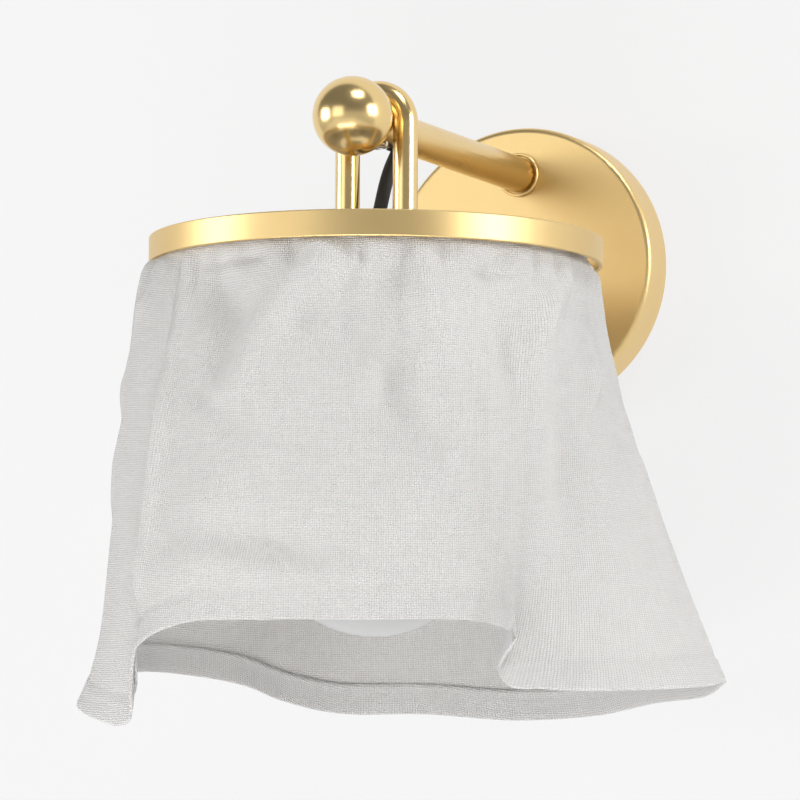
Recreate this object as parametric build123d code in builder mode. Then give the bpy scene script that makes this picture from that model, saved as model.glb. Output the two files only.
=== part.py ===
from build123d import *
from math import cos, hypot, pi, radians, sin, tan
import os

# Fabric shade wall light. Millimetres, +Z up, origin on the wall at the centre of the round wall plate.
# The light stands out along -Y; the shade hangs under the arm on a rod bent into a U.

# ---- driving dimensions ------------------------------------------------------------------------------

cut_overrun = 1.0  # how far a cut starts outside what it cuts
nut_turn = 30.0  # level nuts have two corners along X

# wall plate: a round cup, open towards the wall
plate_radius = 60.0
plate_depth = 18.5
plate_wall = 1.6
plate_edge_fillet = 2.4
plate_inner_fillet = 0.8

# strap that the wall plate hangs on, screwed to the box in the wall
strap_width = 20.0
strap_thickness = 2.0
strap_tab_depth = 14.0
strap_tab_clearance = 0.25
box_screw_spacing = 88.9
box_slot_length = 12.0
box_slot_width = 4.8
ground_screw_drop = 20.0
ground_head_radius = 4.0
ground_head_height = 2.4
ground_shank_radius = 2.0
ground_head_fillet = 0.96
ground_slot_width = 1.0
ground_cross_length = 4.8

# set screws at twelve and six o'clock, threaded in the strap's tabs
set_screw_radius = 2.0
set_screw_length = 7.0
set_screw_standoff = 9.0
set_screw_recess = 0.3
set_screw_key = 2.0
set_screw_key_depth = 2.5

# arm
arm_height = 39.5
arm_radius = 7.5
arm_wall = 1.5
arm_tip = 188.0
collar_gap = 0.6
collar_wall = 1.3
collar_length = 2.0
collar_chamfer = 0.4
rear_plug_length = 18.0
front_plug_length = 10.0

# hollow threaded rods and their nuts
nipple_radius = 5.0
nipple_bore_radius = 3.4
thread_clearance = 0.05
nipple_in_plug = 14.0
backing_washer_radius = 15.0
backing_washer_thickness = 2.0
star_washer_radius = 8.6
star_washer_thickness = 1.0
star_washer_teeth = 12
star_tooth_depth = 1.1
nipple_nut_flats = 14.0
wall_nut_thickness = 4.0
nipple_end_reach = 1.0
nipple_foot_reach = 0.5

# ball at the arm's tip
ball_radius = 16.0
ball_offset = 190.5
ball_socket_depth = 14.5
finial_stud_radius = 3.0
finial_stud_length = 8.0
finial_hole_extra = 1.5

# U-shaped yoke over the arm
yoke_offset = 167.0
rod_radius = 5.0
yoke_arm_clearance = 0.2
leg_stud_radius = 3.0
yoke_screw_radius = 2.5
yoke_screw_engagement = 6.5
yoke_head_radius = 4.75
yoke_head_height = 2.7
yoke_head_key = 3.0
yoke_head_key_depth = 1.6
yoke_head_fillet = 2.0
yoke_hole_spare = 0.5
spot_face_depth = 0.3
spot_face_margin = 0.5
sleeve_radius = 4.0

# cord and its outlet in the underside of the arm
cord_radius = 2.8
outlet_offset = 145.3
outlet_angle = 45.0
outlet_radius = 4.7
outlet_reach = 9.4
grommet_wall_inside = 0.4
grommet_lip = 0.9
cord_clearance = 0.05
cord_first_run = 6.3
cord_bend_share = 0.45

# brass hoop and the spider inside it
hoop_radius = 91.0
hoop_wall = 2.0
hoop_height = 10.5
hoop_top = -7.5
hoop_edge_fillet = 0.45
spider_drop = 3.0
spider_thickness = 3.0
spider_arm_width = 10.0
spider_arm_count = 4
hub_radius = 24.0
leg_nut_flats = 10.0
leg_nut_thickness = 4.0
leg_stud_reach = 0.5
hub_nut_thickness = 3.0

# wire ring that carries the cloth, and its clips
ring_radius = 82.5
ring_wire_radius = 1.5
ring_drop = 0.7
clip_thickness = 0.8
clip_width = 8.0
clip_length = 9.0
clip_gap = 0.3
clip_screw_inset = 5.0
clip_screw_radius = 1.5
clip_head_radius = 2.7
clip_head_height = 1.7
clip_head_fillet = 0.85

# lamp socket
cup_radius = 20.0
cup_wall = 1.2
cup_top = -19.0
cup_bottom = -55.7
cup_edge_fillet = 3.0
socket_fit = 0.1
socket_body_drop = 5.0
socket_cavity_drop = 3.5
socket_shell_wall = 0.65
socket_shell_drop = 4.0
socket_shell_rise = 3.5
spacer_radius = 6.5
cup_nut_thickness = 3.0
contact_width = 6.0
contact_thickness = 0.7
terminal_radius = 2.4
terminal_length = 3.0
terminal_offset = 12.0
bushing_flange_radius = 4.8
bushing_flange_height = 1.2
bushing_length = 3.0
bushing_clearance = 0.2
bushing_mouth_fillet = 0.84

# globe bulb
globe_radius = 47.5
globe_glass = 1.2
bulb_length = 138.0
globe_bottom = -166.5
base_radius = 13.25
base_clearance = 0.08
base_wall = 0.6
base_tip_radius = 4.5
base_tip_height = 1.5
base_tip_fillet = 0.9
base_insulator_height = 3.5
base_shell_height = 22.5
bulb_collar_radius = 16.5
bulb_collar_height = 9.0
neck_angle = 26.0
neck_lip_inset = 1.0
neck_waist = 0.6
led_column_radius = 8.0
led_column_length = 48.0
led_strip_count = 6
led_strip_width = 3.0
led_strip_depth = 0.8
led_strip_margin = 4.0

# linen shade
cloth_thickness = 1.5
cloth_top_gap = 0.3
cloth_ring_gap = 0.3
cloth_end = -202.0
cloth_levels = 4
cloth_arcs = 18
cloth_core_overrun = 0.5
# Folds: for each direction, in degrees from +X towards +Y, the cloth's outer radius half way down and
# at the hem. The cloth leaves the ring as a circle.
folds = [
    (16, 109, 140),
    (-16, 104, 131),
    (-35, 100, 116),
    (-43, 91, 96),
    (-72, 88, 92),
    (-101, 92, 102),
    (-124, 99, 115),
    (-149, 103, 120),
    (-173, 101, 117),
    (-202, 103, 122),
    (-246, 102, 120),
    (-288, 107, 131),
    (-319, 109, 136),
]
# The hem hangs unevenly: its height at places along the shade's two long sides, seen square on from
# the front right (view_turn degrees round from -Y towards +X). Each entry is (across, height).
view_turn = 24.0
front_hem = [(-97, -202), (-95, -186), (-80, -172), (-55, -167), (42, -167), (50, -172), (52, -192),
             (95, -193), (150, -187)]
back_hem = [(-150, -178), (-80, -181), (-30, -190), (30, -192), (88, -196), (118, -190), (150, -187)]
hem_cut_reach = 160.0
hem_cut_floor = -230.0

# ---- worked-out places -------------------------------------------------------------------------------

plate_face = -plate_depth
plate_inner_face = plate_face + plate_wall
arm_bore = arm_radius - arm_wall
collar_bore_radius = arm_radius + collar_gap
hoop_bore = hoop_radius - hoop_wall
bend_radius = arm_radius + yoke_arm_clearance + rod_radius
crown_inner = arm_height + arm_radius + yoke_arm_clearance
spider_top = hoop_top - spider_drop
spider_bottom = spider_top - spider_thickness
ring_height = spider_bottom - ring_drop - ring_wire_radius
cloth_top = spider_bottom - cloth_top_gap
cloth_top_radius = ring_radius + ring_wire_radius + cloth_ring_gap + cloth_thickness
base_tip = globe_bottom + bulb_length
base_shell_top = base_tip - base_tip_height - base_insulator_height
base_shell_bottom = base_shell_top - base_shell_height
collar_bottom = base_shell_bottom - bulb_collar_height
globe_centre = globe_bottom + globe_radius
socket_bore = base_radius + base_clearance
socket_body_radius = cup_radius - cup_wall - socket_fit
socket_body_top = cup_top - socket_body_drop
socket_cavity_top = socket_body_top - socket_cavity_drop

# Planes: the wall plane looks out along -Y; the shade plane is level, on the yoke's centre line.
arm_plane = Plane(origin=(0, 0, arm_height), x_dir=(1, 0, 0), z_dir=(0, -1, 0))
shade_plane = Plane(origin=(0, -yoke_offset, 0), x_dir=(1, 0, 0), z_dir=(0, 0, 1))
profile_plane = Plane(origin=(0, -yoke_offset, 0), x_dir=(1, 0, 0), z_dir=(0, -1, 0))


def write(piece, name):
    piece.part.label = name
    export_step(piece.part, f"parts/{name}.step")


def outlet_plane(along):
    """Plane square to the cord where it leaves the arm, `along` the slanted hole from the arm's skin."""
    slope = radians(outlet_angle)
    direction = (0, -cos(slope), -sin(slope))
    y = -outlet_offset - along * cos(slope)
    z = arm_height - arm_radius - along * sin(slope)
    return Plane(origin=(0, y, z), x_dir=(1, 0, 0), z_dir=direction)


os.makedirs("parts", exist_ok=True)

# ---- wall side ---------------------------------------------------------------------------------------

with BuildPart() as wall_plate:
    with BuildSketch(Plane.XZ):
        Circle(plate_radius)
    extrude(amount=plate_depth)
    fillet(wall_plate.edges().filter_by(GeomType.CIRCLE).sort_by(Axis.Y)[0], plate_edge_fillet)
    with BuildSketch(Plane.XZ):
        Circle(plate_radius - plate_wall)
    extrude(amount=plate_depth - plate_wall, mode=Mode.SUBTRACT)
    inner_rim = wall_plate.edges().filter_by(GeomType.CIRCLE).filter_by(
        lambda e: abs(e.radius - (plate_radius - plate_wall)) < 0.01).sort_by(Axis.Y)[0]
    fillet(inner_rim, plate_inner_fillet)
    with BuildSketch(arm_plane):
        Circle(nipple_radius + thread_clearance)
    extrude(amount=plate_depth + plate_wall, mode=Mode.SUBTRACT)
    with BuildSketch(Plane.XY.offset(-plate_radius - cut_overrun)):
        with Locations((0, -set_screw_standoff)):
            Circle(set_screw_radius + thread_clearance)
    extrude(amount=2 * (plate_radius + cut_overrun), mode=Mode.SUBTRACT)
write(wall_plate, "wall_plate")

tab_outer = plate_radius - plate_wall - strap_tab_clearance
with BuildPart() as mounting_strap:
    with BuildSketch(Plane.XZ):
        Rectangle(strap_width, 2 * tab_outer)
        for side in (-1, 1):
            with Locations((0, side * box_screw_spacing / 2)):
                SlotOverall(box_slot_length, box_slot_width, rotation=90, mode=Mode.SUBTRACT)
        with Locations((0, -ground_screw_drop)):
            Circle(ground_shank_radius + thread_clearance, mode=Mode.SUBTRACT)
    extrude(amount=strap_thickness)
    for side in (-1, 1):
        with BuildSketch(Plane.XZ):
            with Locations((0, side * (tab_outer - strap_thickness / 2))):
                Rectangle(strap_width, strap_thickness)
        extrude(amount=strap_tab_depth)
    with BuildSketch(Plane.XY.offset(-plate_radius)):
        with Locations((0, -set_screw_standoff)):
            Circle(set_screw_radius + thread_clearance)
    extrude(amount=2 * plate_radius, mode=Mode.SUBTRACT)
    # The tabs' corners follow the plate's round wall.
    with BuildSketch(Plane.XZ):
        Circle(tab_outer)
    extrude(amount=strap_tab_depth, mode=Mode.INTERSECT)
write(mounting_strap, "mounting_strap")

set_screw_end = plate_radius - set_screw_recess
with BuildPart() as side_screws:
    for side in (-1, 1):
        head = Plane(origin=(0, -set_screw_standoff, side * set_screw_end), x_dir=(1, 0, 0),
                     z_dir=(0, 0, -side))
        with BuildSketch(head):
            Circle(set_screw_radius)
        extrude(amount=set_screw_length)
        with BuildSketch(head):
            RegularPolygon(set_screw_key / 2, 6, major_radius=False)
        extrude(amount=set_screw_key_depth, mode=Mode.SUBTRACT)
write(side_screws, "side_screws")

with BuildPart() as ground_screw:
    with BuildSketch(Plane(origin=(0, 0, -ground_screw_drop), x_dir=(1, 0, 0), z_dir=(0, -1, 0))):
        Circle(ground_shank_radius)
    extrude(amount=strap_thickness)
    with BuildSketch(Plane(origin=(0, -strap_thickness, -ground_screw_drop), x_dir=(1, 0, 0),
                           z_dir=(0, -1, 0))):
        Circle(ground_head_radius)
    extrude(amount=ground_head_height)
    top_edge = ground_screw.edges().filter_by(GeomType.CIRCLE).sort_by(Axis.Y)[0]
    fillet(top_edge, ground_head_fillet)
    with BuildSketch(Plane(origin=(0, -strap_thickness - ground_head_height / 2, -ground_screw_drop),
                           x_dir=(1, 0, 0), z_dir=(0, -1, 0))):
        Rectangle(2 * ground_head_radius, ground_slot_width)
        Rectangle(ground_slot_width, ground_cross_length)
    extrude(amount=ground_head_height, mode=Mode.SUBTRACT)
write(ground_screw, "ground_screw")

# ---- arm and what fixes it to the plate --------------------------------------------------------------

with BuildPart() as arm_collar:
    with BuildSketch(arm_plane.offset(plate_depth)):
        Circle(collar_bore_radius + collar_wall)
        Circle(collar_bore_radius, mode=Mode.SUBTRACT)
    extrude(amount=collar_length)
    front_edges = arm_collar.faces().sort_by(Axis.Y)[0].edges()
    chamfer(front_edges, collar_chamfer)
write(arm_collar, "arm_collar")

sleeve_reach = spot_face_margin + yoke_head_radius
with BuildPart() as arm_tube:
    with BuildSketch(arm_plane.offset(plate_depth)):
        Circle(arm_radius)
        Circle(arm_bore, mode=Mode.SUBTRACT)
    extrude(amount=arm_tip - plate_depth)
    # slanted outlet for the cord
    with BuildSketch(outlet_plane(-outlet_reach)):
        Circle(outlet_radius)
    extrude(amount=2 * outlet_reach, mode=Mode.SUBTRACT)
    # screw hole right through, and a flat for the screw's head underneath
    with BuildSketch(shade_plane.offset(arm_height - arm_radius - cut_overrun)):
        Circle(yoke_screw_radius + thread_clearance)
    extrude(amount=2 * (arm_radius + cut_overrun), mode=Mode.SUBTRACT)
    with BuildSketch(shade_plane.offset(arm_height - arm_radius - cut_overrun)):
        Circle(sleeve_reach)
    extrude(amount=cut_overrun + spot_face_depth, mode=Mode.SUBTRACT)
write(arm_tube, "arm_tube")

with BuildPart() as arm_rear_plug:
    with BuildSketch(arm_plane.offset(plate_depth)):
        Circle(arm_bore)
        Circle(nipple_radius + thread_clearance, mode=Mode.SUBTRACT)
    extrude(amount=rear_plug_length)
write(arm_rear_plug, "arm_rear_plug")

washer_face = -plate_inner_face
with BuildPart() as backing_washer:
    with BuildSketch(arm_plane.offset(washer_face - backing_washer_thickness)):
        Circle(backing_washer_radius)
        Circle(nipple_radius + thread_clearance, mode=Mode.SUBTRACT)
    extrude(amount=backing_washer_thickness)
write(backing_washer, "backing_washer")

star_face = washer_face - backing_washer_thickness
with BuildPart() as star_washer:
    with BuildSketch(arm_plane.offset(star_face - star_washer_thickness)):
        Circle(star_washer_radius)
        Circle(nipple_radius + thread_clearance, mode=Mode.SUBTRACT)
        with PolarLocations(star_washer_radius, star_washer_teeth):
            Rectangle(2 * star_tooth_depth, star_tooth_depth, mode=Mode.SUBTRACT)
    extrude(amount=star_washer_thickness)
write(star_washer, "star_washer")

nut_face = star_face - star_washer_thickness
with BuildPart() as wall_nut:
    with BuildSketch(arm_plane.offset(nut_face - wall_nut_thickness)):
        RegularPolygon(nipple_nut_flats / 2, 6, major_radius=False)
        Circle(nipple_radius + thread_clearance, mode=Mode.SUBTRACT)
    extrude(amount=wall_nut_thickness)
write(wall_nut, "wall_nut")

nipple_end = nut_face - wall_nut_thickness - nipple_end_reach
with BuildPart() as arm_nipple:
    with BuildSketch(arm_plane.offset(nipple_end)):
        Circle(nipple_radius)
        Circle(nipple_bore_radius, mode=Mode.SUBTRACT)
    extrude(amount=plate_depth + nipple_in_plug - nipple_end)
write(arm_nipple, "arm_nipple")

with BuildPart() as arm_front_plug:
    with BuildSketch(arm_plane.offset(arm_tip - front_plug_length)):
        Circle(arm_bore)
    extrude(amount=front_plug_length)
    with BuildSketch(arm_plane.offset(arm_tip)):
        Circle(finial_stud_radius)
    extrude(amount=finial_stud_length)
write(arm_front_plug, "arm_front_plug")

with BuildPart() as ball_finial:
    with Locations((0, -ball_offset, arm_height)):
        Sphere(ball_radius)
    with BuildSketch(arm_plane.offset(ball_offset - ball_radius)):
        Circle(arm_radius + thread_clearance)
    extrude(amount=ball_socket_depth, mode=Mode.SUBTRACT)
    with BuildSketch(arm_plane.offset(ball_offset - ball_radius)):
        Circle(finial_stud_radius + thread_clearance)
    stud_end = arm_tip + finial_stud_length + finial_hole_extra
    extrude(amount=stud_end - ball_offset + ball_radius, mode=Mode.SUBTRACT)
write(ball_finial, "ball_finial")

# ---- yoke --------------------------------------------------------------------------------------------

leg_stud_end = spider_bottom - leg_nut_thickness - leg_stud_reach
with BuildPart() as yoke:
    with BuildLine() as yoke_path:
        left_foot = (-bend_radius, -yoke_offset, spider_top)
        left_shoulder = (-bend_radius, -yoke_offset, arm_height)
        crown = (0, -yoke_offset, arm_height + bend_radius)
        right_shoulder = (bend_radius, -yoke_offset, arm_height)
        right_foot = (bend_radius, -yoke_offset, spider_top)
        Line(left_foot, left_shoulder)
        ThreePointArc(left_shoulder, crown, right_shoulder)
        Line(right_shoulder, right_foot)
    with BuildSketch(Plane(origin=left_foot, x_dir=(1, 0, 0), z_dir=(0, 0, 1))):
        Circle(rod_radius)
    sweep(path=yoke_path.wire())
    with BuildSketch(shade_plane.offset(leg_stud_end)):
        with Locations((-bend_radius, 0), (bend_radius, 0)):
            Circle(leg_stud_radius)
    extrude(amount=spider_top - leg_stud_end)
    with BuildSketch(shade_plane.offset(arm_height)):
        Circle(yoke_screw_radius + thread_clearance)
    extrude(amount=crown_inner + yoke_screw_engagement - arm_height, mode=Mode.SUBTRACT)
write(yoke, "yoke")

screw_seat = arm_height - arm_radius + spot_face_depth
with BuildPart() as yoke_screw:
    with BuildSketch(shade_plane.offset(screw_seat)):
        Circle(yoke_screw_radius)
    extrude(amount=crown_inner + yoke_screw_engagement - yoke_hole_spare - screw_seat)
    with BuildSketch(shade_plane.offset(screw_seat - yoke_head_height)):
        Circle(yoke_head_radius)
    extrude(amount=yoke_head_height)
    rim = yoke_screw.edges().filter_by(GeomType.CIRCLE).sort_by(Axis.Z)[0]
    fillet(rim, yoke_head_fillet)
    with BuildSketch(shade_plane.offset(screw_seat - yoke_head_height)):
        RegularPolygon(yoke_head_key / 2, 6, major_radius=False)
    extrude(amount=yoke_head_key_depth, mode=Mode.SUBTRACT)
write(yoke_screw, "yoke_screw")

with BuildPart() as crush_sleeve:
    with BuildSketch(shade_plane.offset(arm_height - arm_radius)):
        Circle(sleeve_radius)
        Circle(yoke_screw_radius + thread_clearance, mode=Mode.SUBTRACT)
    extrude(amount=2 * arm_radius)
    with BuildSketch(arm_plane.offset(yoke_offset - sleeve_radius)):
        Circle(arm_bore)
    extrude(amount=2 * sleeve_radius, mode=Mode.INTERSECT)
write(crush_sleeve, "crush_sleeve")

# ---- cord --------------------------------------------------------------------------------------------

with BuildPart() as cord_grommet:
    with BuildSketch(outlet_plane(-outlet_reach)):
        Circle(outlet_radius)
        Circle(cord_radius + cord_clearance, mode=Mode.SUBTRACT)
    extrude(amount=2 * outlet_reach)
    with BuildSketch(arm_plane.offset(outlet_offset - 2 * outlet_reach)):
        Circle(arm_radius + grommet_lip)
        Circle(arm_bore - grommet_wall_inside, mode=Mode.SUBTRACT)
    extrude(amount=4 * outlet_reach, mode=Mode.INTERSECT)
write(cord_grommet, "cord_grommet")

# The cord's points are (distance from the wall, height), hand-placed along its hang, all at x = 0. It
# leaves the arm along the slanted hole.
outlet_point = (outlet_offset, arm_height - arm_radius)
inner_route = [
    (nipple_end, arm_height),
    (outlet_offset - arm_radius / tan(radians(outlet_angle)), arm_height),
    outlet_point,
]
drop_route = [
    outlet_point,
    (outlet_offset + cord_first_run, outlet_point[1] - cord_first_run * tan(radians(outlet_angle))),
    (157.0, 18.2),
    (161.3, 9.7),
    (167.0, -2.8),
    (167.0, -17.0),
]


def cord_path(route):
    """Points, fillet radii and length of a cord's centre line made of straight runs and tangent arcs."""
    radii = []
    length = 0.0
    for before, here, after in zip(route, route[1:], route[2:]):
        run_in = hypot(here[0] - before[0], here[1] - before[1])
        run_out = hypot(after[0] - here[0], after[1] - here[1])
        turn = Vector(here[0] - before[0], here[1] - before[1]).get_angle(
            Vector(after[0] - here[0], after[1] - here[1]))
        radius = cord_bend_share * min(run_in, run_out) / tan(radians(turn) / 2)
        radii.append(radius)
        length += radius * (radians(turn) - 2 * tan(radians(turn) / 2))
    for start, end in zip(route, route[1:]):
        length += hypot(end[0] - start[0], end[1] - start[1])
    points = [(0, -out, height) for out, height in route]
    return points, radii, length


for name, route in (("cord_inner", inner_route), ("cord_drop", drop_route)):
    points, radii, length = cord_path(route)
    print(name, "length", round(length, 2), "radii", [round(r, 1) for r in radii])
    first_run = Vector(*points[1]) - Vector(*points[0])
    with BuildPart() as cord:
        with BuildLine() as cord_line:
            FilletPolyline(*points, radius=radii)
        with BuildSketch(Plane(origin=points[0], x_dir=(1, 0, 0), z_dir=first_run)):
            Circle(cord_radius)
        sweep(path=cord_line.wire())
    print(name, "volume over section x length", round(cord.part.volume / (pi * cord_radius**2 * length), 5))
    write(cord, name)

# ---- hoop and spider ---------------------------------------------------------------------------------

with BuildPart() as shade_hoop:
    with BuildSketch(shade_plane.offset(hoop_top - hoop_height)):
        Circle(hoop_radius)
        Circle(hoop_bore, mode=Mode.SUBTRACT)
    extrude(amount=hoop_height)
    fillet(shade_hoop.edges().filter_by(GeomType.CIRCLE), hoop_edge_fillet)
write(shade_hoop, "shade_hoop")

clip_screw_circle = ring_radius - ring_wire_radius - clip_gap - clip_thickness - clip_screw_inset
with BuildPart() as spider:
    with BuildSketch(shade_plane.offset(spider_bottom)):
        Circle(hub_radius)
        for turn in range(spider_arm_count // 2):
            Rectangle(2 * hoop_radius, spider_arm_width, rotation=turn * 360 / spider_arm_count)
        Circle(nipple_radius + thread_clearance, mode=Mode.SUBTRACT)
        with Locations((-bend_radius, 0), (bend_radius, 0)):
            Circle(leg_stud_radius + thread_clearance, mode=Mode.SUBTRACT)
        with PolarLocations(clip_screw_circle, spider_arm_count):
            Circle(clip_screw_radius + thread_clearance, mode=Mode.SUBTRACT)
    extrude(amount=spider_thickness)
    with BuildSketch(shade_plane.offset(spider_bottom)):
        Circle(hoop_bore)
    extrude(amount=spider_thickness, mode=Mode.INTERSECT)
write(spider, "spider")

with BuildPart() as leg_nuts:
    with BuildSketch(shade_plane.offset(spider_bottom - leg_nut_thickness)):
        with Locations((-bend_radius, 0), (bend_radius, 0)):
            RegularPolygon(leg_nut_flats / 2, 6, major_radius=False, rotation=nut_turn)
            Circle(leg_stud_radius + thread_clearance, mode=Mode.SUBTRACT)
    extrude(amount=leg_nut_thickness)
write(leg_nuts, "leg_nuts")

with BuildPart() as hub_nut:
    with BuildSketch(shade_plane.offset(spider_top)):
        RegularPolygon(nipple_nut_flats / 2, 6, major_radius=False, rotation=nut_turn)
        Circle(nipple_radius + thread_clearance, mode=Mode.SUBTRACT)
    extrude(amount=hub_nut_thickness)
write(hub_nut, "hub_nut")

# ---- wire ring, clips and their screws ---------------------------------------------------------------

with BuildPart() as fabric_ring:
    with BuildSketch(profile_plane):
        with Locations((ring_radius, ring_height)):
            Circle(ring_wire_radius)
    revolve(axis=Axis((0, -yoke_offset, 0), (0, 0, 1)))
write(fabric_ring, "fabric_ring")

clip_web = ring_radius - ring_wire_radius - clip_gap
clip_foot = ring_height - ring_wire_radius - clip_gap
with BuildPart() as ring_clips:
    for index in range(spider_arm_count):
        angle = radians(index * 360 / spider_arm_count)
        across = Plane(origin=(0, -yoke_offset, 0), x_dir=(cos(angle), sin(angle), 0),
                       z_dir=(sin(angle), -cos(angle), 0))
        with BuildSketch(across):
            with BuildLine():
                Polyline(
                    (clip_web, spider_bottom),
                    (clip_web - clip_length, spider_bottom),
                    (clip_web - clip_length, spider_bottom - clip_thickness),
                    (clip_web - clip_thickness, spider_bottom - clip_thickness),
                    (clip_web - clip_thickness, clip_foot - clip_thickness),
                    (ring_radius + ring_wire_radius / 2, clip_foot - clip_thickness),
                    (ring_radius + ring_wire_radius / 2, clip_foot),
                    (clip_web, clip_foot),
                    close=True)
            make_face()
        extrude(amount=clip_width / 2, both=True)
    with BuildSketch(shade_plane.offset(spider_bottom - clip_thickness)):
        with PolarLocations(clip_screw_circle, spider_arm_count):
            Circle(clip_screw_radius + thread_clearance)
    extrude(amount=clip_thickness, mode=Mode.SUBTRACT)
write(ring_clips, "ring_clips")

with BuildPart() as clip_screws:
    with BuildSketch(shade_plane.offset(spider_bottom - clip_thickness)):
        with PolarLocations(clip_screw_circle, spider_arm_count):
            Circle(clip_screw_radius)
    extrude(amount=clip_thickness + spider_thickness)
    with BuildSketch(shade_plane.offset(spider_bottom - clip_thickness - clip_head_height)):
        with PolarLocations(clip_screw_circle, spider_arm_count):
            Circle(clip_head_radius)
    extrude(amount=clip_head_height)
    head_rims = clip_screws.edges().filter_by(GeomType.CIRCLE).group_by(Axis.Z)[0]
    fillet(head_rims, clip_head_fillet)
write(clip_screws, "clip_screws")

# ---- lamp socket -------------------------------------------------------------------------------------

socket_nipple_top = spider_top + hub_nut_thickness
socket_nipple_bottom = cup_top - cup_wall - cup_nut_thickness - nipple_foot_reach
with BuildPart() as socket_nipple:
    with BuildSketch(shade_plane.offset(socket_nipple_bottom)):
        Circle(nipple_radius)
        Circle(nipple_bore_radius, mode=Mode.SUBTRACT)
    extrude(amount=socket_nipple_top - socket_nipple_bottom)
write(socket_nipple, "socket_nipple")

with BuildPart() as cord_bushing:
    with BuildSketch(shade_plane.offset(socket_nipple_top)):
        Circle(bushing_flange_radius)
    extrude(amount=bushing_flange_height)
    with BuildSketch(shade_plane.offset(socket_nipple_top - bushing_length)):
        Circle(nipple_bore_radius)
    extrude(amount=bushing_length)
    with BuildSketch(shade_plane.offset(socket_nipple_top - bushing_length)):
        Circle(cord_radius + bushing_clearance)
    extrude(amount=bushing_length + bushing_flange_height, mode=Mode.SUBTRACT)
    mouth = cord_bushing.edges().filter_by(GeomType.CIRCLE).filter_by(
        lambda e: abs(e.radius - cord_radius - bushing_clearance) < 0.01).sort_by(Axis.Z)[-1]
    fillet(mouth, bushing_mouth_fillet)
write(cord_bushing, "cord_bushing")

with BuildPart() as socket_spacer:
    with BuildSketch(shade_plane.offset(cup_top)):
        Circle(spacer_radius)
        Circle(nipple_radius + thread_clearance, mode=Mode.SUBTRACT)
    extrude(amount=spider_bottom - cup_top)
write(socket_spacer, "socket_spacer")

with BuildPart() as socket_cup:
    with BuildSketch(shade_plane.offset(cup_bottom)):
        Circle(cup_radius)
    extrude(amount=cup_top - cup_bottom)
    fillet(socket_cup.edges().filter_by(GeomType.CIRCLE).sort_by(Axis.Z)[-1], cup_edge_fillet)
    with BuildSketch(shade_plane.offset(cup_bottom)):
        Circle(cup_radius - cup_wall)
    extrude(amount=cup_top - cup_wall - cup_bottom, mode=Mode.SUBTRACT)
    inner_rim = socket_cup.edges().filter_by(GeomType.CIRCLE).filter_by(
        lambda e: abs(e.radius - (cup_radius - cup_wall)) < 0.01).sort_by(Axis.Z)[-1]
    fillet(inner_rim, cup_edge_fillet - cup_wall)
    with BuildSketch(shade_plane.offset(cup_top - cup_wall)):
        Circle(nipple_radius + thread_clearance)
    extrude(amount=cup_wall, mode=Mode.SUBTRACT)
write(socket_cup, "socket_cup")

with BuildPart() as cup_nut:
    with BuildSketch(shade_plane.offset(cup_top - cup_wall - cup_nut_thickness)):
        RegularPolygon(nipple_nut_flats / 2, 6, major_radius=False)
        Circle(nipple_radius + thread_clearance, mode=Mode.SUBTRACT)
    extrude(amount=cup_nut_thickness)
write(cup_nut, "cup_nut")

shell_outer = socket_bore + socket_shell_wall
with BuildPart() as socket_body:
    with BuildSketch(shade_plane.offset(cup_bottom)):
        Circle(socket_body_radius)
    extrude(amount=socket_body_top - cup_bottom)
    with BuildSketch(shade_plane.offset(cup_bottom)):
        Circle(shell_outer)
    extrude(amount=socket_cavity_top - cup_bottom, mode=Mode.SUBTRACT)
    # holes for the two terminal screws
    with BuildSketch(shade_plane.offset(socket_cavity_top)):
        with Locations((0, terminal_offset), (0, -terminal_offset)):
            Circle(terminal_radius)
    extrude(amount=socket_body_top - socket_cavity_top, mode=Mode.SUBTRACT)
write(socket_body, "socket_body")

with BuildPart() as socket_shell:
    with BuildSketch(shade_plane.offset(cup_bottom + socket_shell_rise)):
        Circle(shell_outer)
        Circle(socket_bore, mode=Mode.SUBTRACT)
    extrude(amount=socket_cavity_top - socket_shell_drop - cup_bottom - socket_shell_rise)
write(socket_shell, "socket_shell")

with BuildPart() as centre_contact:
    with BuildSketch(shade_plane.offset(socket_cavity_top - contact_thickness)):
        Rectangle(contact_width, 2 * base_tip_radius)
    extrude(amount=contact_thickness)
write(centre_contact, "centre_contact")

with BuildPart() as terminal_screws:
    with BuildSketch(shade_plane.offset(socket_cavity_top)):
        with Locations((0, terminal_offset), (0, -terminal_offset)):
            Circle(terminal_radius)
    extrude(amount=terminal_length)
write(terminal_screws, "terminal_screws")

# ---- bulb --------------------------------------------------------------------------------------------

bulb_axis = Axis((0, -yoke_offset, 0), (0, 0, 1))
with BuildPart() as bulb_tip:
    with BuildSketch(shade_plane.offset(base_tip - base_tip_height)):
        Circle(base_tip_radius)
    extrude(amount=base_tip_height)
    fillet(bulb_tip.edges().filter_by(GeomType.CIRCLE).sort_by(Axis.Z)[-1], base_tip_fillet)
write(bulb_tip, "bulb_tip")

with BuildPart() as bulb_insulator:
    with BuildSketch(shade_plane.offset(base_shell_top)):
        Circle(base_radius - base_wall)
    with BuildSketch(shade_plane.offset(base_tip - base_tip_height)):
        Circle(base_tip_radius)
    loft()
write(bulb_insulator, "bulb_insulator")

with BuildPart() as bulb_screw_shell:
    with BuildSketch(shade_plane.offset(base_shell_bottom)):
        Circle(base_radius)
        Circle(base_radius - base_wall, mode=Mode.SUBTRACT)
    extrude(amount=base_shell_height)
write(bulb_screw_shell, "bulb_screw_shell")


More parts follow.
